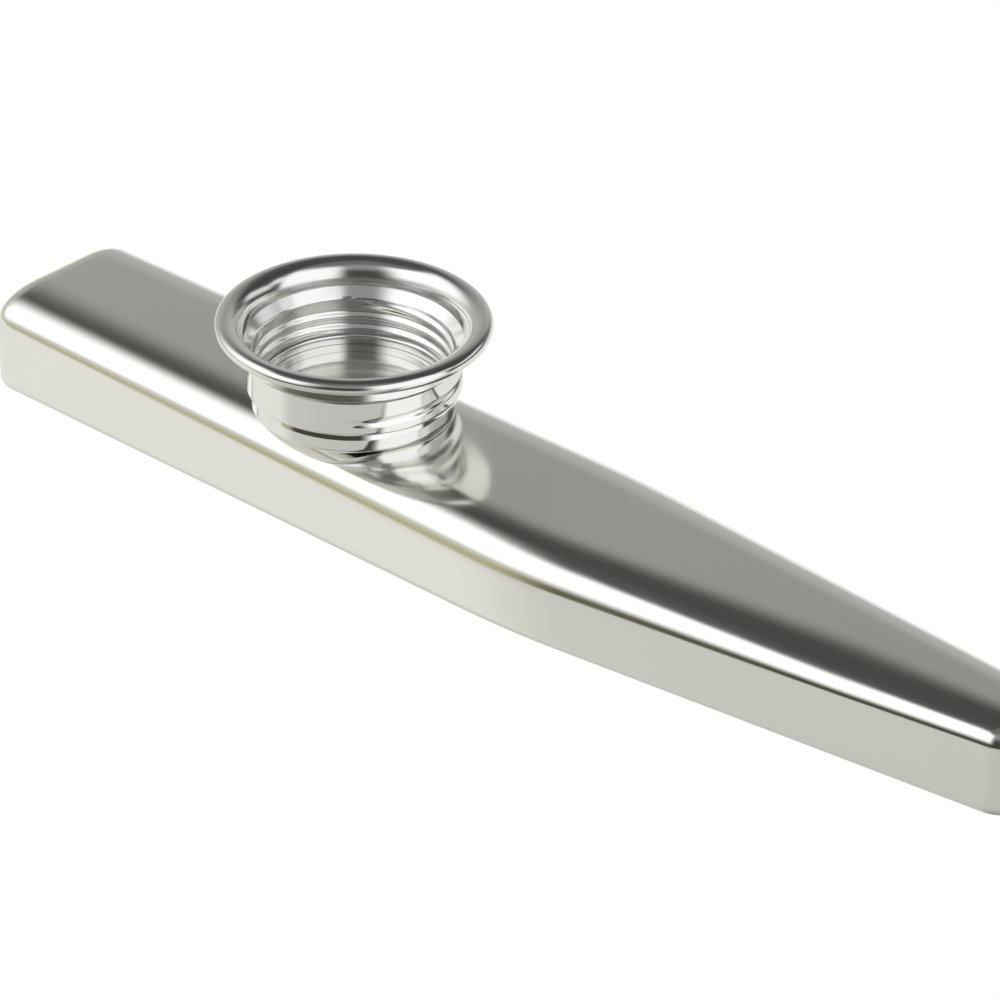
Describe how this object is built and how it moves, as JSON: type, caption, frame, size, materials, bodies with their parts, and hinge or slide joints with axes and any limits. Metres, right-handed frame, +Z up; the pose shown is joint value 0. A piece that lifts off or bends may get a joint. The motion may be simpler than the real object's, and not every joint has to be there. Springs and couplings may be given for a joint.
{
  "type": "kazoo",
  "caption": "Pressed metal kazoo with a tapered body and a threaded turret whose flared screw cap holds a thin membrane.",
  "frame": {"origin": "middle of the box's underside, under the middle of the length, on the flat hem", "axes": "+X from the wide humming end to the narrow tip, +Z up through the turret"},
  "size_m": [0.12, 0.0258, 0.0189],
  "materials": {
    "sheet": "polished",
    "spun": "polished",
    "film": "polished"
  },
  "bodies": {
    "body": {"upper_shell": "sheet", "bottom_plate": "sheet", "turret_collar": "spun"},
    "membrane_disc": {"membrane_ring": "spun", "membrane": "film"},
    "cap": {"screw_cap": "spun"}
  },
  "joints": [
    {"name": "disc_lift", "type": "slide", "parent": "body", "child": "membrane_disc", "axis": [0.0161, 0, 0.9999], "range_m": [0, 0.00163]},
    {"name": "cap_turn", "type": "hinge", "parent": "membrane_disc", "child": "cap", "pos_m": [-0.0187, 0, 0.00954], "axis": [0.0161, 0, 0.9999], "range_deg": [0, 450]}
  ],
  "couplings": [
    {"joint": "disc_lift", "follows": "cap_turn", "m_per_rad": 0.0002069}
  ]
}
